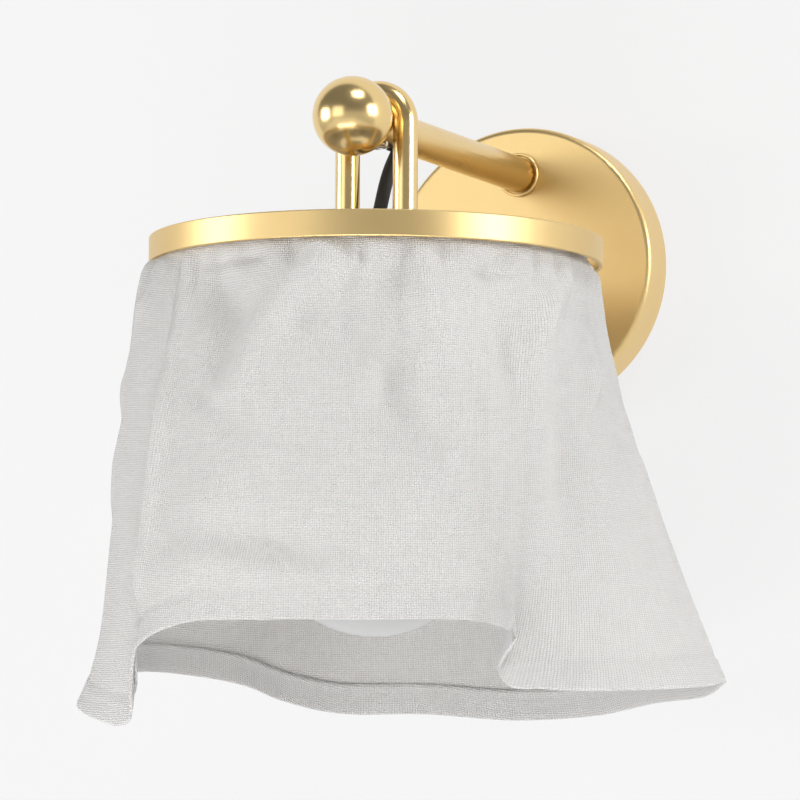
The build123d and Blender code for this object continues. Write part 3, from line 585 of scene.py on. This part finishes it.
def noise_over(tree, place, scale, detail=2.0):
    """The output of a Noise Texture node over a place, from 0 to 1."""
    inputs = {"Vector": place, "Scale": scale, "Detail": detail}
    return add_node(tree, "ShaderNodeTexNoise", inputs).outputs[0]


def scaled(tree, place, factors):
    """A place with each of its coordinates multiplied by its own factor."""
    return add_node(tree, "ShaderNodeVectorMath", {0: place, 1: factors}, operation="MULTIPLY").outputs[0]


FLOAT, VECTOR = "NodeSocketFloat", "NodeSocketVector"

# Woven thread: how far it wanders (m) and how finely, how far its slubs stretch along it, and its body.
THREAD_WANDER = 0.0006
WANDER_SCALE = 260.0
SLUB_SCALE = 1100.0
SLUB_STRETCH = 0.06
THREAD_BODY = (0.6, 0.5)  # least thickness, and what a slub adds

# Satin metal: shares of the scratches and of the cloudy polish in its roughness.
SCRATCH_SHARE = 0.6
CLOUD_SHARE = 0.4
CLOUD_SCALE = 45.0


def weave_group():
    """Plain weave from flat cloth coordinates in metres: height of the threads and thread shade.

    Warp and weft are rounded ridges, sin of the coordinate over the thread pitch, and a checker of the two
    sines says which one lies on top. Noise stretched along each thread makes it thicker or thinner."""
    group = Group("plain_weave", [("Vector", VECTOR, None), ("Pitch", FLOAT, 0.0007), ("Slub", FLOAT, 0.5)],
                  [("Height", FLOAT), ("Shade", FLOAT)])
    tree = group.tree
    flat = group.inside["Vector"]
    place = add_node(tree, "ShaderNodeSeparateXYZ", {0: flat}).outputs
    wander = noise_over(tree, flat, WANDER_SCALE)
    sway = maths(tree, "MULTIPLY", maths(tree, "SUBTRACT", wander, 0.5), THREAD_WANDER)
    turns = maths(tree, "DIVIDE", np.pi, group.inside["Pitch"])
    heights, slubs = [], []
    for axis, stretch in ((0, (1.0, SLUB_STRETCH, 1.0)), (1, (SLUB_STRETCH, 1.0, 1.0))):
        coordinate = maths(tree, "MULTIPLY", maths(tree, "ADD", place[axis], sway), turns)
        thread = maths(tree, "ABSOLUTE", maths(tree, "SINE", coordinate))
        slub = noise_over(tree, scaled(tree, flat, stretch), SLUB_SCALE, 3.0)
        body = maths(tree, "ADD", maths(tree, "MULTIPLY", slub, THREAD_BODY[1]), THREAD_BODY[0])
        heights.append(maths(tree, "MULTIPLY", thread, body))
        slubs.append(slub)
    sines = [maths(tree, "SINE", maths(tree, "MULTIPLY", place[axis], turns)) for axis in (0, 1)]
    over = maths(tree, "ADD", maths(tree, "MULTIPLY", maths(tree, "MULTIPLY", *sines), 0.5), 0.5)
    first = maths(tree, "MULTIPLY", heights[0], over)
    second = maths(tree, "MULTIPLY", heights[1], maths(tree, "SUBTRACT", 1.0, over))
    tree.links.new(maths(tree, "ADD", first, second), group.out["Height"])
    mean = maths(tree, "MULTIPLY", maths(tree, "ADD", *slubs), 0.5)
    swing = maths(tree, "MULTIPLY", maths(tree, "SUBTRACT", mean, 0.5), group.inside["Slub"])
    tree.links.new(maths(tree, "ADD", 0.5, swing), group.out["Shade"])
    return group.tree


def brushed_group():
    """Satin metal: fine scratches along one direction, cloudy polish and a faint change of tone."""
    group = Group("satin_brush", [("Vector", VECTOR, None), ("Lines", VECTOR, (60.0, 60.0, 4000.0)),
                                  ("Rough", FLOAT, 0.25), ("Spread", FLOAT, 0.08)],
                  [("Roughness", FLOAT), ("Height", FLOAT), ("Tone", FLOAT)])
    tree = group.tree
    place = group.inside["Vector"]
    lines = noise_over(tree, scaled(tree, place, group.inside["Lines"]), 1.0, 4.0)
    cloud = noise_over(tree, place, CLOUD_SCALE, 3.0)
    mixed = maths(tree, "ADD", maths(tree, "MULTIPLY", lines, SCRATCH_SHARE),
                  maths(tree, "MULTIPLY", cloud, CLOUD_SHARE))
    swing = maths(tree, "MULTIPLY", maths(tree, "SUBTRACT", mixed, 0.5), group.inside["Spread"])
    tree.links.new(maths(tree, "ADD", group.inside["Rough"], swing), group.out["Roughness"])
    tree.links.new(lines, group.out["Height"])
    tree.links.new(cloud, group.out["Tone"])
    return group.tree


WEAVE = weave_group()
BRUSHED = brushed_group()


# ---- materials -----------------------------------------------------------------------------------------


def grey(value):
    """An opaque grey of the given value."""
    return (value, value, value, 1)


def new_material(name):
    """An empty node material with its Principled shader, returned as material, tree and shader."""
    material = bpy.data.materials.new(name)
    material.use_nodes = True
    tree = material.node_tree
    return material, tree, tree.nodes["Principled BSDF"]


def set_shader(tree, shader, inputs):
    """Gives a shader's inputs their values or links, by name."""
    for name, source in inputs.items():
        feed(tree, shader.inputs[name], source)


def coordinates(tree, kind):
    """One of the outputs of a Texture Coordinate node."""
    return add_node(tree, "ShaderNodeTexCoord").outputs[kind]


def flat_coordinates(tree):
    """The piece's own flat coordinates, in metres across and down the cloth or the cord."""
    return add_node(tree, "ShaderNodeUVMap", uv_map="cloth").outputs[0]


def use_group(tree, group, inputs):
    """The outputs of a shared node group placed in a material."""
    return add_node(tree, "ShaderNodeGroup", inputs, node_tree=group).outputs


def mix_colours(tree, amount, dark, light):
    """A colour between two, by an amount from 0 to 1."""
    return add_node(tree, "ShaderNodeMix", {0: amount, 6: dark, 7: light}, data_type="RGBA").outputs[2]


def bump(tree, shader, height, strength, distance):
    """A surface relief of so many metres on the shader's Normal."""
    node = add_node(tree, "ShaderNodeBump", {"Strength": strength, "Distance": distance, "Height": height})
    tree.links.new(node.outputs[0], shader.inputs["Normal"])


GRAIN_STRENGTH = 0.2
METAL_RELIEF = 0.000001
PLAIN_RELIEF = 0.00002
GLOSS_SWING = 0.1


def metal(name, dark, light, rough, spread, lines):
    """A satin metal whose scratches run along the axis with the smallest number in lines."""
    material, tree, shader = new_material(name)
    place = coordinates(tree, "Object")
    brushed = use_group(tree, BRUSHED, {"Vector": place, "Lines": lines, "Rough": rough, "Spread": spread})
    set_shader(tree, shader, {"Base Color": mix_colours(tree, brushed["Tone"], dark, light),
                              "Roughness": brushed["Roughness"], "Metallic": 1.0})
    bump(tree, shader, brushed["Height"], GRAIN_STRENGTH, METAL_RELIEF)
    return material


def plain(name, dark, light, rough, scale=400.0, coat=0.0):
    """A solid colour with a faint mottle in tone, gloss and surface."""
    material, tree, shader = new_material(name)
    noise = noise_over(tree, coordinates(tree, "Object"), scale, 3.0)
    gloss = maths(tree, "ADD", maths(tree, "MULTIPLY", noise, GLOSS_SWING), rough - GLOSS_SWING / 2)
    set_shader(tree, shader, {"Base Color": mix_colours(tree, noise, dark, light), "Roughness": gloss,
                              "Coat Weight": coat})
    bump(tree, shader, noise, GRAIN_STRENGTH, PLAIN_RELIEF)
    return material


# The linen's colour runs from this grey where the threads sink up to the thread colour on their tops: painted
# shade between the threads.
LINEN_HOLLOW_SHADE = (0.64, 0.627, 0.615, 1)  # between the threads
LINEN_THREAD = (0.90, 0.882, 0.868, 1)
LINEN_PITCH = 0.00088
LINEN_SLUB = 0.4
LINEN_TONE = 1.8  # brings the threads' height and shade up to 1
LINEN_RELIEF = 0.0006


def linen_material():
    """Off-white linen in a plain weave, slightly see-through, with a soft sheen."""
    material, tree, shader = new_material("linen")
    woven = use_group(tree, WEAVE, {"Vector": flat_coordinates(tree), "Pitch": LINEN_PITCH,
                                    "Slub": LINEN_SLUB})
    # Darker where the weave is low: painted shade between the threads, times the threads' random slub tone.
    threads = maths(tree, "MULTIPLY", woven["Height"], woven["Shade"])
    tone = maths(tree, "MULTIPLY", threads, LINEN_TONE)
    set_shader(tree, shader, {
        "Base Color": mix_colours(tree, tone, LINEN_HOLLOW_SHADE, LINEN_THREAD),
        "Roughness": 0.85,
        "Specular IOR Level": 0.25,
        "Sheen Weight": 0.1,
        "Sheen Roughness": 0.5,
        "Subsurface Weight": 0.3,
        "Subsurface Radius": (1.0, 0.97, 0.92),
        "Subsurface Scale": 0.0009,
    })
    bump(tree, shader, woven["Height"], 1.0, LINEN_RELIEF)
    return material


BRAID_SLANT = 52  # degrees from the cord's own direction
BRAID_PITCH = 0.0008
BRAID_SLUB = 0.6
BRAID_RELIEF = 0.0002


def cord_material():
    """A black braided jacket: two sets of slanting strands over each other."""
    material, tree, shader = new_material("black_braid")
    slanted = add_node(tree, "ShaderNodeMapping", {"Vector": flat_coordinates(tree),
                                                   "Rotation": (0, 0, np.radians(BRAID_SLANT))})
    woven = use_group(tree, WEAVE, {"Vector": slanted.outputs[0], "Pitch": BRAID_PITCH, "Slub": BRAID_SLUB})
    # Darker where the strands sink: painted shade between the strands.
    set_shader(tree, shader, {"Base Color": mix_colours(tree, woven["Height"], grey(0.004), grey(0.028)),
                              "Roughness": 0.6})
    bump(tree, shader, woven["Height"], 0.8, BRAID_RELIEF)
    return material


OPAL_DARK = (0.52, 0.52, 0.517, 1)
OPAL_LIGHT = (0.56, 0.56, 0.557, 1)
OPAL_CLOUD_SCALE = 30.0


def opal_material():
    """Opal glass, white and satin under a thin gloss."""
    material, tree, shader = new_material("opal_glass")
    noise = noise_over(tree, coordinates(tree, "Object"), OPAL_CLOUD_SCALE)
    set_shader(tree, shader, {
        "Base Color": mix_colours(tree, noise, OPAL_DARK, OPAL_LIGHT),
        "Roughness": 0.28,
        "Coat Weight": 0.3,
        "Coat Roughness": 0.2,
    })
    return material


BRASS_DARK = (0.84, 0.61, 0.27, 1)
BRASS_LIGHT = (0.88, 0.66, 0.315, 1)
# The plate's brass darkened to about 0.87 of its colour: painted shade for the hoop, the spider and the
# socket cup.
SHADED_HOOP_DARK = (0.73, 0.53, 0.235, 1)
SHADED_HOOP_LIGHT = (0.77, 0.575, 0.275, 1)
ACROSS_PLATE = (1200.0, 100.0, 60.0)  # scratches per metre along each axis, before their own noise
ALONG_Z = (2500.0, 2500.0, 12.0)
ALONG_Y = (2500.0, 12.0, 2500.0)
ROUND_Z = (60.0, 60.0, 5000.0)
EVEN = (300.0, 300.0, 300.0)

LINEN = linen_material()
BRAID = cord_material()
OPAL = opal_material()
BRASS_PLATE = metal("brass_plate", BRASS_DARK, BRASS_LIGHT, 0.37, 0.04, ACROSS_PLATE)
BRASS_ARM = metal("brass_arm", BRASS_DARK, BRASS_LIGHT, 0.28, 0.05, ALONG_Y)
BRASS_ROD = metal("brass_rod", BRASS_DARK, BRASS_LIGHT, 0.24, 0.04, ALONG_Z)
# Painted shade: the darkened brass, used for the hoop, the spider and the socket cup.
SHADED_BRASS = metal("shaded_brass", SHADED_HOOP_DARK, SHADED_HOOP_LIGHT, 0.42, 0.05, ROUND_Z)
BRASS_BALL = metal("brass_ball", BRASS_DARK, BRASS_LIGHT, 0.22, 0.03, EVEN)
STEEL = metal("zinc_steel", (0.50, 0.51, 0.52, 1), (0.62, 0.63, 0.64, 1), 0.35, 0.15, EVEN)
NICKEL = metal("bright_nickel", (0.70, 0.68, 0.64, 1), (0.78, 0.76, 0.72, 1), 0.16, 0.08, EVEN)
GREEN = metal("green_screw", (0.03, 0.20, 0.06, 1), (0.06, 0.30, 0.10, 1), 0.35, 0.1, EVEN)
WHITE_WIRE = plain("white_wire", (0.72, 0.72, 0.70, 1), (0.82, 0.82, 0.80, 1), 0.35, coat=0.3)
RUBBER = plain("black_rubber", grey(0.008), grey(0.02), 0.55)
PORCELAIN = plain("porcelain", (0.78, 0.77, 0.74, 1), (0.84, 0.83, 0.80, 1), 0.12, 60.0, coat=0.6)
WHITE_PLASTIC = plain("white_plastic", (0.76, 0.76, 0.75, 1), (0.80, 0.80, 0.79, 1), 0.32, 900.0)
BLACK_GLASS = plain("black_glass", grey(0.004), grey(0.012), 0.12, coat=0.4)
BOARD = plain("led_column", (0.70, 0.66, 0.50, 1), (0.80, 0.76, 0.60, 1), 0.4)

NODE_MATERIALS = {
    "wall_plate": BRASS_PLATE, "arm_collar": BRASS_PLATE, "arm_tube": BRASS_ARM, "yoke": BRASS_ROD,
    "shade_hoop": SHADED_BRASS, "ball_finial": BRASS_BALL, "spider": SHADED_BRASS, "leg_nuts": BRASS_ROD,
    "socket_cup": SHADED_BRASS, "side_screws": BRASS_BALL, "ground_screw": GREEN,
    "yoke_screw": NICKEL, "socket_shell": NICKEL, "centre_contact": NICKEL, "bulb_tip": NICKEL,
    "bulb_screw_shell": NICKEL, "fabric_ring": WHITE_WIRE, "cord_grommet": RUBBER, "cord_bushing": RUBBER,
    "cord_inner": RUBBER, "socket_body": PORCELAIN, "bulb_insulator": BLACK_GLASS,
    "bulb_globe": OPAL, "bulb_collar": WHITE_PLASTIC, "led_column": BOARD,
}
for node_name, node in NODES.items():
    node.data.materials.clear()
    node.data.materials.append(NODE_MATERIALS.get(node_name, STEEL))

make_shade(LINEN)
make_cord(BRAID)

# ---- stage and light -----------------------------------------------------------------------------------

WALL_HALF = 3.0  # half the width of the wall and the floor, and the wall's height
WALL_GAP = 0.0006  # between the wall plate's back and the wall
FLOOR_DEPTH = 1.4
PAPER = 0.896  # the photograph's background grey, as light
PAPER_LIT = grey(0.70)
PAPER_SEEN = grey(0.12)
PAPER_GLOW = grey(0.79)
# Greys of the room from straight below (0) to overhead (1), as the metal and the cloth get them.
SKY_TONES = [(0.02, 0.45), (0.35, 0.55), (0.5, 0.6), (0.57, 0.32), (0.66, 0.2), (0.98, 0.24)]


def stage_material(name):
    """Matt paper that keeps a faint shadow of the object and is clear from behind.

    Where it is seen, straight or in metal and glass, most of its grey is its own glow and the rest is lit,
    so that it stays even."""
    material, tree, shader = new_material(name)
    ray = add_node(tree, "ShaderNodeLightPath").outputs
    seen = maths(tree, "MAXIMUM", ray["Is Camera Ray"],
                 maths(tree, "MAXIMUM", ray["Is Glossy Ray"], ray["Is Transmission Ray"]))
    set_shader(tree, shader, {
        "Base Color": mix_colours(tree, seen, PAPER_LIT, PAPER_SEEN),
        "Emission Color": mix_colours(tree, seen, grey(0), PAPER_GLOW),
        "Emission Strength": 1.0,
        "Roughness": 1.0,
        "Specular IOR Level": 0.0,
    })
    clear = add_node(tree, "ShaderNodeBsdfTransparent").outputs[0]
    behind = add_node(tree, "ShaderNodeNewGeometry").outputs["Backfacing"]
    sided = add_node(tree, "ShaderNodeMixShader", {0: behind, 1: shader.outputs[0], 2: clear})
    output = next(node for node in tree.nodes if node.type == "OUTPUT_MATERIAL")
    tree.links.new(sided.outputs[0], output.inputs["Surface"])
    return material


def flat_sheet(name, corners):
    """A large sheet of stage paper with the given four corners."""
    mesh = bpy.data.meshes.new(name)
    mesh.from_pydata(corners, [], [(0, 1, 2, 3)])
    sheet = bpy.data.objects.new(name, mesh)
    sheet.data.materials.append(stage_material(name + "_paper"))
    bpy.context.scene.collection.objects.link(sheet)


flat_sheet("wall", [(side * WALL_HALF, WALL_GAP, height) for side, height in
                    ((-1, -FLOOR_DEPTH), (1, -FLOOR_DEPTH), (1, WALL_HALF), (-1, WALL_HALF))])
flat_sheet("floor", [(side * WALL_HALF, out, -FLOOR_DEPTH) for side, out in
                     ((-1, -2 * WALL_HALF), (1, -2 * WALL_HALF), (1, WALL_HALF), (-1, WALL_HALF))])


def around_view(turn, rise, distance):
    """A place at so many degrees right of the camera's own direction and above level, from the hoop."""
    angle = np.radians(VIEW_TURN + turn)
    lift = np.radians(rise)
    return (HUB_X + distance * np.sin(angle) * np.cos(lift), HUB_Y - distance * np.cos(angle) * np.cos(lift),
            distance * np.sin(lift))


LAMP_DISTANCE = 2.2
LAMP_AIM = (HUB_X, HUB_Y, -0.08)  # inside the shade, near its middle
# Soft boxes: name, place, width and height in metres, and power in watts.
LAMPS = [
    ("side", around_view(-84, 4, LAMP_DISTANCE), (0.9, 0.8), 16),
    ("front", around_view(-42, 7, LAMP_DISTANCE), (1.2, 1.0), 5),
    ("key", around_view(60, 12, LAMP_DISTANCE), (0.9, 0.8), 22),
    ("top", (0.9, -1.0, 1.9), (0.8, 0.6), 16),
    ("low", around_view(-20, -46, 1.7), (1.4, 0.9), 18),
]


def softbox(name, place, size, power):
    """An area lamp aimed at the shade."""
    data = bpy.data.lights.new(name, "AREA")
    data.shape = "RECTANGLE"
    data.size, data.size_y = size
    data.energy = power
    lamp = bpy.data.objects.new(name, data)
    lamp.location = place
    lamp.rotation_euler = (Vector(LAMP_AIM) - Vector(place)).to_track_quat("-Z", "Y").to_euler()
    bpy.context.scene.collection.objects.link(lamp)


def make_room():
    """The surroundings: the photograph's grey where they are seen, and a grey that changes with height where
    they light the object or show in its metal."""
    world = bpy.data.worlds.new("studio")
    bpy.context.scene.world = world
    world.use_nodes = True
    tree = world.node_tree
    background = tree.nodes["Background"]
    ray = add_node(tree, "ShaderNodeLightPath").outputs
    seen = maths(tree, "MAXIMUM", ray["Is Camera Ray"], ray["Is Transmission Ray"])
    aim = add_node(tree, "ShaderNodeSeparateXYZ", {0: coordinates(tree, "Generated")}).outputs["Z"]
    rise = maths(tree, "ADD", maths(tree, "MULTIPLY", aim, 0.5), 0.5)
    room = add_node(tree, "ShaderNodeValToRGB", {0: rise})
    stops = room.color_ramp.elements
    for place, tone in SKY_TONES:
        stops.new(place).color = grey(tone)
    for spare in (stops[-1], stops[0]):
        stops.remove(spare)
    tree.links.new(mix_colours(tree, seen, room.outputs[0], grey(PAPER)), background.inputs["Color"])
    background.inputs["Strength"].default_value = 1.0


for name, place, size, power in LAMPS:
    softbox(name, place, size, power)
make_room()

bpy.context.scene.view_settings.view_transform = "Standard"
